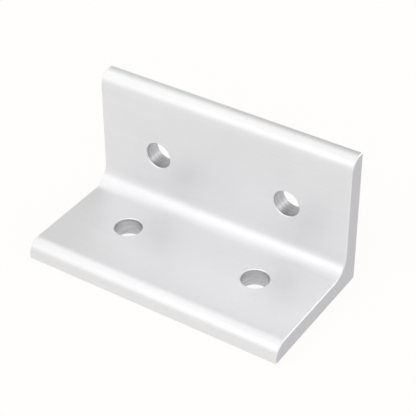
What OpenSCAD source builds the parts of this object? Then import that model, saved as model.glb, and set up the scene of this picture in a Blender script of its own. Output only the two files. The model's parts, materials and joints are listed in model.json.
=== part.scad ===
// Corner bracket cut from an extruded aluminium angle: two legs at a right
// angle, sawn to length, its ends deburred, with two screw holes through each
// leg. X runs along the extrusion. The base leg lies on Z = 0 with its toe
// towards -Y, and the upright leg stands at the +Y side.

/* [Angle section] */
// Height of the upright leg, from the outer base face to its toe
upright_h = 45; // [40:0.5:80]
// Reach of the base leg, from the outer back face to its toe
base_reach = 45; // [40:0.5:80]
// Thickness of both legs
wall = 6; // [4:0.5:10]
// Radius of the fillet in the inner corner
fillet_r = 6; // [3:0.5:9]
// Radius of the outer corner, where the two outer faces meet
heel_r = 1; // [0.5:0.25:5]
// Flat left on each toe, beside the large round that takes the rest of the wall
toe_land = 1.5; // [1:0.25:3]
// Radius of the outer long edge of each toe
toe_edge_r = 0.8; // [0.4:0.05:0.95]

/* [Cut length] */
// Length of the bracket along the extrusion
length = 86; // [75:1:200]
// Bevel all round both cut ends
end_break = 0.3; // [0.1:0.05:0.35]

/* [Screw holes] */
// Diameter of the four through holes
hole_d = 8.5; // [4:0.1:12]
// Distance between the two holes of a leg, along the length
hole_pitch = 45; // [20:0.5:60]
// Distance from a leg's toe to the centres of its holes
hole_to_toe = 22.5; // [14:0.5:26]
// Bevel round each mouth of a hole
mouth_break = 0.25; // [0.1:0.05:1]

/* [Hidden] */
$fn = 96;
// How far a cutter runs past the face that it opens
over = 1;
// Half the length, where the cut ends are
end_x = length / 2;
// Outer back face, toe of the base and inner face of the upright
back_y = base_reach / 2;
toe_y = -base_reach / 2;
inner_y = back_y - wall;
// Large round over each toe, from the inner face to the land
toe_r = wall - toe_land;
// Axis of the inner fillet
fillet_y = inner_y - fillet_r;
fillet_z = wall + fillet_r;
// Long edges to round: [Y, Z, side of the metal in Y, side of the metal in Z, radius]
LONG_EDGES = [
    [back_y, 0, -1, 1, heel_r],
    [back_y, upright_h, -1, -1, toe_edge_r],
    [inner_y, upright_h, 1, -1, toe_r],
    [toe_y, 0, 1, 1, toe_edge_r],
    [toe_y, wall, 1, -1, toe_r]
];

// Rectangle along X with its four corners cut off by the end bevel
module beveled_plan(width) {
    side = width / 2;
    polygon([
        [-end_x, end_break - side],
        [end_break - end_x, -side],
        [end_x - end_break, -side],
        [end_x, end_break - side],
        [end_x, side - end_break],
        [end_x - end_break, side],
        [end_break - end_x, side],
        [-end_x, side - end_break]
    ]);
}

// Outline of an open space over a face at Y = 0, which widens past the ends to
// bevel that face
module flared_plan(reach) {
    out_x = end_x + over;
    drop = end_break + over;
    polygon([
        [-out_x, -drop],
        [end_break - end_x, 0],
        [end_x - end_break, 0],
        [out_x, -drop],
        [out_x, reach],
        [-out_x, reach]
    ]);
}

// Round bar along X that narrows at both ends by the end bevel
module beveled_bar(r) {
    rotate([0, 90, 0])
        rotate_extrude()
            polygon([
                [0, -end_x],
                [r - end_break, -end_x],
                [r, end_break - end_x],
                [r, end_x - end_break],
                [r - end_break, end_x],
                [0, end_x]
            ]);
}

// Round space along X that widens past both ends to bevel the fillet
module flared_bar(r) {
    out_x = end_x + over;
    out_r = r + end_break + over;
    rotate([0, 90, 0])
        rotate_extrude()
            polygon([
                [0, -out_x],
                [out_r, -out_x],
                [r, end_break - end_x],
                [r, end_x - end_break],
                [out_r, out_x],
                [0, out_x]
            ]);
}

// Outer block of the angle, bevelled at its ends towards all four long faces
module outer_block() {
    intersection() {
        linear_extrude(height = upright_h)
            beveled_plan(base_reach);
        translate([0, 0, upright_h / 2])
            rotate([90, 0, 0])
                linear_extrude(height = base_reach, center = true)
                    beveled_plan(upright_h);
    }
}

// Open corner between the legs, with the inner fillet
module open_corner() {
    translate([0, fillet_y, wall])
        rotate([90, 0, 0])
            linear_extrude(height = fillet_y - toe_y + over)
                flared_plan(upright_h - wall + over);
    translate([0, inner_y, fillet_z])
        mirror([0, 1, 0])
            linear_extrude(height = upright_h - fillet_z + over)
                flared_plan(base_reach - wall + over);
    translate([0, fillet_y, fillet_z])
        flared_bar(fillet_r);
}

// Waste outside the round on a long edge at Y = 0, Z = 0, for metal towards +Y and +Z
module edge_waste(r) {
    difference() {
        rotate([90, 0, 90])
            linear_extrude(height = length + 2 * over, center = true)
                translate([-over, -over])
                    square(r + over);
        translate([0, r, r])
            beveled_bar(r);
    }
}

// Waste of every rounded long edge of the section
module long_edge_waste() {
    for (edge = LONG_EDGES)
        translate([0, edge[0], edge[1]])
            mirror([0, edge[2] < 0 ? 1 : 0, 0])
                mirror([0, 0, edge[3] < 0 ? 1 : 0])
                    edge_waste(edge[4]);
}

// Drilled hole through a wall between Z = 0 and Z = wall, bevelled at both mouths
module screw_hole() {
    hole_r = hole_d / 2;
    wide_r = hole_r + mouth_break + over;
    rotate_extrude()
        polygon([
            [0, -over],
            [wide_r, -over],
            [hole_r, mouth_break],
            [hole_r, wall - mouth_break],
            [wide_r, wall + over],
            [0, wall + over]
        ]);
}

// The two holes of the base and the two of the upright
module screw_holes() {
    for (side = [-1, 1])
        translate([side * hole_pitch / 2, 0, 0]) {
            translate([0, toe_y + hole_to_toe, 0])
                screw_hole();
            translate([0, back_y, upright_h - hole_to_toe])
                rotate([90, 0, 0])
                    screw_hole();
        }
}

module corner_bracket() {
    color("#DCDDDF")
        difference() {
            outer_block();
            open_corner();
            long_edge_waste();
            screw_holes();
        }
}

corner_bracket();
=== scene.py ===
# %% [markdown]
# # A corner bracket in blasted and anodised aluminium
#
# The bracket is one piece. A bar of aluminium angle is pushed through a die, so
# its rounded toes and its inner fillet run the whole length. Pieces are sawn off
# the bar, drilled, deburred, blasted with fine beads and then anodised clear.
#
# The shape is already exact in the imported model, so nothing is modelled again
# here. What is left to do is the look: the finish that each of those steps left
# on the metal, and soft light that shows the rounds.

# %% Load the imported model
import bpy
import json
import math
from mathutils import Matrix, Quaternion, Vector


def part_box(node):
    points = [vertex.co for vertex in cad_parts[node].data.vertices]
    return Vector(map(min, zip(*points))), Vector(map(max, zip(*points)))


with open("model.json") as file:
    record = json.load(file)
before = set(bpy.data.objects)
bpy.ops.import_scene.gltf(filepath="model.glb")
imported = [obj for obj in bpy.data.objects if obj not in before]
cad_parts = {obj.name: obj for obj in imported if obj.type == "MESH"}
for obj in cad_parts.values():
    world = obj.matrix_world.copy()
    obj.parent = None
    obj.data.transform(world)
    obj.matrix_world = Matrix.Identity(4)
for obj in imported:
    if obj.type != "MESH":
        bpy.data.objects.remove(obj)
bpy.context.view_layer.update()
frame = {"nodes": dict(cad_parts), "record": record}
bracket = frame["nodes"]["corner_bracket"]

# %% [markdown]
# ## Sizes that the finish follows
#
# Saw marks belong on the cut ends and drill marks in the holes, and both places get painted
# shade, so the material has to know where those are. They are read from the model: the box
# gives the cut ends, and each hole is a mount in the record, with its place and radius.
# The four holes mirror about the middle of the length, so one place along X
# serves both holes of a leg.

# %% Read the places of the ends and the holes
MM = 0.001
_, box_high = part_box("corner_bracket")
half_length = box_high[0]
mounts = frame["record"]["mounts"]
holes = {mount["name"]: mount for mount in mounts if mount["kind"] == "bore"}
base_hole = holes["base_hole_right"]
upright_hole = holes["upright_hole_right"]
hole_radius = base_hole["dims"]["r_mm"] * MM
hole_x, base_hole_y, _ = base_hole["pos_m"]
upright_hole_z = upright_hole["pos_m"][2]
print("cut ends at", half_length / MM, "mm")
print("holes at", hole_x / MM, "mm, radius", hole_radius / MM, "mm")

# %% [markdown]
# ## Colours and nodes
#
# A hex code is an sRGB colour, as a picture stores it, and a shader wants linear
# light. One function turns the first into the second. One more adds a node with
# its settings and its links, so that a material reads as a short list.

# %% Helpers for colours and nodes
def linear(hex_code):
    """Turns an sRGB hex colour such as "#D3D4D6" into linear RGBA."""
    rgb = [int(hex_code[i:i + 2], 16) / 255 for i in (1, 3, 5)]
    return [c / 12.92 if c <= 0.04045 else ((c + 0.055) / 1.055) ** 2.4 for c in rgb] + [1]


def add(tree, kind, inputs=None, **settings):
    """Adds a node. An input is a number, a colour or another node's output."""
    node = tree.nodes.new(kind)
    for name, value in settings.items():
        setattr(node, name, value)
    for key, value in (inputs or {}).items():
        if isinstance(value, bpy.types.NodeSocket):
            tree.links.new(value, node.inputs[key])
        else:
            node.inputs[key].default_value = value
    return node


def empty_material(name):
    """Makes a material with an empty node tree."""
    material = bpy.data.materials.new(name)
    material.use_nodes = True
    material.node_tree.nodes.clear()
    return material


# %% [markdown]
# ## The finish: blasted, clear anodised aluminium
#
# Bead blasting peens the surface into tiny dimples. They scatter the light, so
# the metal has no clear reflections, only broad soft highlights along its
# rounds. Anodising grows a thin clear oxide on it and keeps that satin look. In
# Principled terms that is a full metal, a light neutral grey and a roughness
# near one half.
#
# Five things break up the even grey on the real part, each at its own scale:
# the grain of the blasting and its slight unevenness, faint lines from the
# extrusion die along X, saw marks across the cut ends, and rings from the drill
# in the holes. They are built as greyscale patterns on Object coordinates, which
# are metres in the bracket's own frame, so a scale follows from millimetres.

# %% Start the aluminium material
NOISE_DETAIL = 2.0
aluminium = empty_material("blasted_clear_anodised_aluminium")
tree = aluminium.node_tree
place = add(tree, "ShaderNodeTexCoord").outputs["Object"]
axes = add(tree, "ShaderNodeSeparateXYZ", {0: place}).outputs


def maths(operation, a, b=0.0):
    """Adds one Math node to the tree in hand and gives its output."""
    return add(tree, "ShaderNodeMath", {0: a, 1: b}, operation=operation).outputs[0]


def noise(size_mm, vector=place):
    """Noise whose features are size_mm long in X, Y and Z."""
    scaled = add(tree, "ShaderNodeMapping", {
        "Vector": vector,
        "Scale": [1 / (size * MM) for size in size_mm],
    })
    texture = add(tree, "ShaderNodeTexNoise", {
        "Vector": scaled.outputs[0],
        "Scale": 1.0,
        "Detail": NOISE_DETAIL,
    })
    return texture.outputs["Fac"]


def spread(value, low, high):
    """Stretches a 0 to 1 pattern to the range low to high."""
    settings = {"Value": value, "To Min": low, "To Max": high}
    return add(tree, "ShaderNodeMapRange", settings).outputs[0]


# %% [markdown]
# ### Where each finish lies
#
# A mask is 1 on one kind of surface and 0 elsewhere. Folding X with an absolute
# value lays both ends, and both holes of a leg, on top of each other. A point
# lies on a hole's wall when its distance from the hole's axis is no more than
# the hole's radius. Both tests leave a skin of two hundredths of a millimetre
# for rounding.

# %% Make the masks
SKIN = 0.02 * MM
fold_x = maths("ABSOLUTE", axes["X"])
from_hole_x = maths("SUBTRACT", fold_x, hole_x)
on_cut_end = maths("GREATER_THAN", fold_x, half_length - SKIN)


def within_hole(axis, hole_place):
    """A mask that is 1 within a leg's holes. The axis is the one across X along the leg."""
    off_axis = add(tree, "ShaderNodeCombineXYZ", {
        "X": from_hole_x,
        "Y": maths("SUBTRACT", axes[axis], hole_place),
    })
    distance = add(tree, "ShaderNodeVectorMath", {0: off_axis.outputs[0]}, operation="LENGTH")
    return maths("LESS_THAN", distance.outputs["Value"], hole_radius + SKIN)


in_base_hole = within_hole("Y", base_hole_y)
in_upright_hole = within_hole("Z", upright_hole_z)
in_hole = maths("MAXIMUM", in_base_hole, in_upright_hole)
print("nodes once the masks are made:", len(tree.nodes))

# %% [markdown]
# ### The patterns
#
# The dimples of fine beads are about 0.1 mm across, which is less than a pixel
# of the picture, so the grain is drawn 0.35 mm wide to show at all. The die
# lines are about as fine across the bar, but tens of millimetres long. The
# cloudy pattern stands for the slight unevenness of blasting by hand.
#
# The saw left its fine lines across the thickness of each cut end. The rings of
# the drill follow one another down the hole, closer than a quarter of a
# millimetre. A hole runs along Z in the base and along Y in the upright, so its
# two axes are swapped there before the noise is read.

# %% Make the patterns
blast_grain = noise((0.35, 0.35, 0.35))
die_lines = noise((60.0, 0.5, 0.5))
clouds = noise((14.0, 14.0, 14.0))
saw_marks = noise((1.0, 9.0, 0.35))
depth = add(tree, "ShaderNodeMix", {
    "Factor": in_upright_hole,
    "A": axes["Z"],
    "B": axes["Y"],
})
across = add(tree, "ShaderNodeMix", {
    "Factor": in_upright_hole,
    "A": axes["Y"],
    "B": axes["Z"],
})
bore_place = add(tree, "ShaderNodeCombineXYZ", {
    "X": from_hole_x,
    "Y": across.outputs["Result"],
    "Z": depth.outputs["Result"],
}).outputs[0]
drill_rings = noise((5.0, 5.0, 0.22), bore_place)
print("nodes once the patterns are made:", len(tree.nodes))

# %% [markdown]
# ### The shader
#
# The grey is a little darker on the cut ends, which is painted shade, and in the
# holes, partly for the drilled wall and partly as painted shade for the inside of
# the holes. The patterns multiply it by numbers close to one, so they stay faint,
# except for the rings, which the holes show plainly.
# A sway of 0.03 is three percent up or down. The grain also sways the roughness,
# and the grain and the rings feed a slight bump.

# %% Mix them into the shader
FACE_GREY = linear("#E7E7E8")
# Painted shade: the cut ends are drawn darker than the faces to stand for the shade they lie in.
END_SHADE_GREY = linear("#C3C3C7")
# Partly the drilled finish, partly painted shade: the hole walls are drawn darker to stand for
# the shade inside the holes.
HOLE_GREY_AND_SHADE = linear("#C4C4C6")
CLOUD_SWAY = 0.03
DIE_LINE_SWAY = 0.025
GRAIN_SWAY = 0.03
RING_SWAY = 0.5
SAW_SWAY = 0.06
LOWEST_ROUGHNESS = 0.42
HIGHEST_ROUGHNESS = 0.48
BUMP_STRENGTH = 0.15
BUMP_HEIGHT = 0.02 * MM
outer_grey = add(tree, "ShaderNodeMix", {
    "Factor": on_cut_end,
    "A": FACE_GREY,
    "B": END_SHADE_GREY,
}, data_type="RGBA").outputs["Result"]
grey = add(tree, "ShaderNodeMix", {
    "Factor": in_hole,
    "A": outer_grey,
    "B": HOLE_GREY_AND_SHADE,
}, data_type="RGBA").outputs["Result"]
cloud_tone = spread(clouds, 1 - CLOUD_SWAY, 1 + CLOUD_SWAY)
line_tone = spread(die_lines, 1 - DIE_LINE_SWAY, 1 + DIE_LINE_SWAY)
grain_tone = spread(blast_grain, 1 - GRAIN_SWAY, 1 + GRAIN_SWAY)
ring_tone = maths("MULTIPLY", in_hole, spread(drill_rings, -RING_SWAY, RING_SWAY))
saw_tone = maths("MULTIPLY", on_cut_end, spread(saw_marks, -SAW_SWAY, SAW_SWAY))
tone = maths("MULTIPLY", maths("MULTIPLY", cloud_tone, line_tone), grain_tone)
tone = maths("ADD", tone, maths("ADD", ring_tone, saw_tone))
tinted = add(tree, "ShaderNodeVectorMath", {0: grey, "Scale": tone}, operation="SCALE")
rough = spread(blast_grain, LOWEST_ROUGHNESS, HIGHEST_ROUGHNESS)
height = maths("ADD", blast_grain, maths("MULTIPLY", in_hole, drill_rings))
bump = add(tree, "ShaderNodeBump", {
    "Height": height,
    "Strength": BUMP_STRENGTH,
    "Distance": BUMP_HEIGHT,
})
shader = add(tree, "ShaderNodeBsdfPrincipled", {
    "Base Color": tinted.outputs[0],
    "Metallic": 1.0,
    "Roughness": rough,
    "Normal": bump.outputs[0],
})
add(tree, "ShaderNodeOutputMaterial", {"Surface": shader.outputs[0]})
bracket.material_slots[0].material = aluminium
print("aluminium material:", len(tree.nodes), "nodes")

# %% [markdown]
# ## A white floor that keeps the shadow
#
# The picture's background is white. Lighting a floor to pure white would wash
# out the bracket, so the floor glows at strength 1, but only for rays that come
# from the camera or off a shiny or clear surface. All other light sees plain
# white paint, and a small share of that paint is left in view to carry the
# bracket's shadow.

# %% Make the floor
FLOOR_SIZE = 8.0
GLOW_SHARE = 0.92
floor_white = empty_material("white_floor")
tree = floor_white.node_tree
ray = add(tree, "ShaderNodeLightPath").outputs
camera_or_glossy = maths("MAXIMUM", ray["Is Camera Ray"], ray["Is Glossy Ray"])
seen = maths("MAXIMUM", camera_or_glossy, ray["Is Transmission Ray"])
paint = add(tree, "ShaderNodeBsdfDiffuse", {"Color": linear("#F2F2F1")})
glow = add(tree, "ShaderNodeEmission", {"Color": linear("#FFFEFD"), "Strength": 1.0})
surface = add(tree, "ShaderNodeMixShader", {
    0: maths("MULTIPLY", seen, GLOW_SHARE),
    1: paint.outputs[0],
    2: glow.outputs[0],
})
add(tree, "ShaderNodeOutputMaterial", {"Surface": surface.outputs[0]})
bpy.ops.mesh.primitive_plane_add(size=FLOOR_SIZE)
floor = bpy.context.object
floor.name = "floor"
floor.data.materials.append(floor_white)
print("floor:", FLOOR_SIZE, "m square,", GLOW_SHARE, "of what is seen of it is glow")

# %% [markdown]
# ## Soft light
#
# Most of the light comes from the room, which is pale nearly all round, so that
# the metal looks right from every side. Rounds on a satin metal only show if
# something brighter or darker than the room is there to reflect.
#
# Brighter are the softboxes. Those high in front and on the left draw the long
# bright band on each toe and in the inner fillet, and the one at the back right
# lights the narrow bevel along the upper edges of the right cut end. The others
# lift the flat faces a little. All of them stand equally far from the bracket. A
# box is given by its direction in degrees, its width and height in metres, and
# its radiance, the brightness that a mirror would show.
#
# Darker is a patch of the room above and behind the bracket, which fades out
# towards its rim. The top edge and the left end of the base mirror it, and so
# turn a softer grey there.

# %% Place the softboxes
BRACKET_MIDDLE = Vector((0, 0, 20)) * MM
SOFTBOX_DISTANCE = 0.9
SOFTBOXES = {
    # name: (azimuth, elevation, width, height, radiance)
    "front": (340, 45, 0.9, 0.6, 0.72),
    "front_right": (35, 40, 0.7, 0.6, 0.79),
    "low_front_left": (315, 15, 0.6, 0.35, 0.34),
    "upper_left": (270, 60, 0.5, 0.4, 0.76),
    "right": (80, 30, 0.9, 0.7, 0.43),
    "back_right": (138, 28, 0.4, 0.4, 1.4),
    "back": (195, 65, 0.6, 0.4, 0.55),
}


def outward(azimuth, elevation):
    """Direction from the bracket. Azimuth 0 is in front of it, and 90 is at its right end."""
    turn, lift = math.radians(azimuth), math.radians(elevation)
    level_part = math.cos(lift)
    return Vector((level_part * math.sin(turn), -level_part * math.cos(turn), math.sin(lift)))


def softbox(name, azimuth, elevation, width, height, radiance):
    """A rectangular lamp that faces the bracket."""
    lamp = bpy.data.lights.new(name, "AREA")
    lamp.shape = "RECTANGLE"
    lamp.size = width
    lamp.size_y = height
    lamp.energy = radiance * math.pi * width * height
    holder = bpy.data.objects.new(name, lamp)
    bpy.context.scene.collection.objects.link(holder)
    toward = outward(azimuth, elevation)
    holder.location = BRACKET_MIDDLE + toward * SOFTBOX_DISTANCE
    holder.rotation_euler = toward.to_track_quat("Z", "Y").to_euler()
    print(f"{name}: {lamp.energy:.2f} W")


for name, settings in SOFTBOXES.items():
    softbox(name, *settings)

# %% Light the room
ROOM_LEVEL = 0.79
DARK_LEVEL = 0.2
PATCH_AZIMUTH = 188
PATCH_ELEVATION = 35
PATCH_INNER_ANGLE = 6
PATCH_OUTER_ANGLE = 26
world = bpy.data.worlds.new("studio")
bpy.context.scene.world = world
world.use_nodes = True
world.node_tree.nodes.clear()
tree = world.node_tree
direction = add(tree, "ShaderNodeTexCoord").outputs["Generated"]
toward_patch = add(tree, "ShaderNodeVectorMath", {
    0: direction,
    1: outward(PATCH_AZIMUTH, PATCH_ELEVATION),
}, operation="DOT_PRODUCT")
level = add(tree, "ShaderNodeMapRange", {
    "Value": toward_patch.outputs["Value"],
    "From Min": math.cos(math.radians(PATCH_OUTER_ANGLE)),
    "From Max": math.cos(math.radians(PATCH_INNER_ANGLE)),
    "To Min": ROOM_LEVEL,
    "To Max": DARK_LEVEL,
})
room = add(tree, "ShaderNodeBackground", {
    "Color": linear("#FFFFFF"),
    "Strength": level.outputs[0],
})
add(tree, "ShaderNodeOutputWorld", {"Surface": room.outputs[0]})
print("room level", ROOM_LEVEL, "and", DARK_LEVEL, "in the dark patch")

# %% [markdown]
# ## The camera
#
# A long lens looks down on the front right corner. Its place was solved from
# the outline of the bracket in the picture and from the bracket's real sizes. It
# is given here as a photographer would: where it aims, from which side and how
# far off.

# %% Place the camera
CAMERA_AIM = Vector((4.465, 2.804, 22.367)) * MM
CAMERA_DISTANCE = 408.2 * MM
CAMERA_AZIMUTH = 33.212
CAMERA_ELEVATION = 36.862
CAMERA_ROLL = math.radians(0.21)
SENSOR_WIDTH_MM = 36
LENS_MM = 122.4
camera = bpy.data.cameras.new("camera")
camera.sensor_width = SENSOR_WIDTH_MM
camera.lens = LENS_MM
camera_holder = bpy.data.objects.new("camera", camera)
bpy.context.scene.collection.objects.link(camera_holder)
toward_camera = outward(CAMERA_AZIMUTH, CAMERA_ELEVATION)
camera_holder.location = CAMERA_AIM + toward_camera * CAMERA_DISTANCE
upright_view = toward_camera.to_track_quat("Z", "Y")
camera_holder.rotation_euler = (Quaternion(-toward_camera, CAMERA_ROLL) @ upright_view).to_euler()
bpy.context.scene.camera = camera_holder
bpy.context.scene.view_settings.view_transform = "Standard"
print("camera at", [round(value / MM, 1) for value in camera_holder.location], "mm")
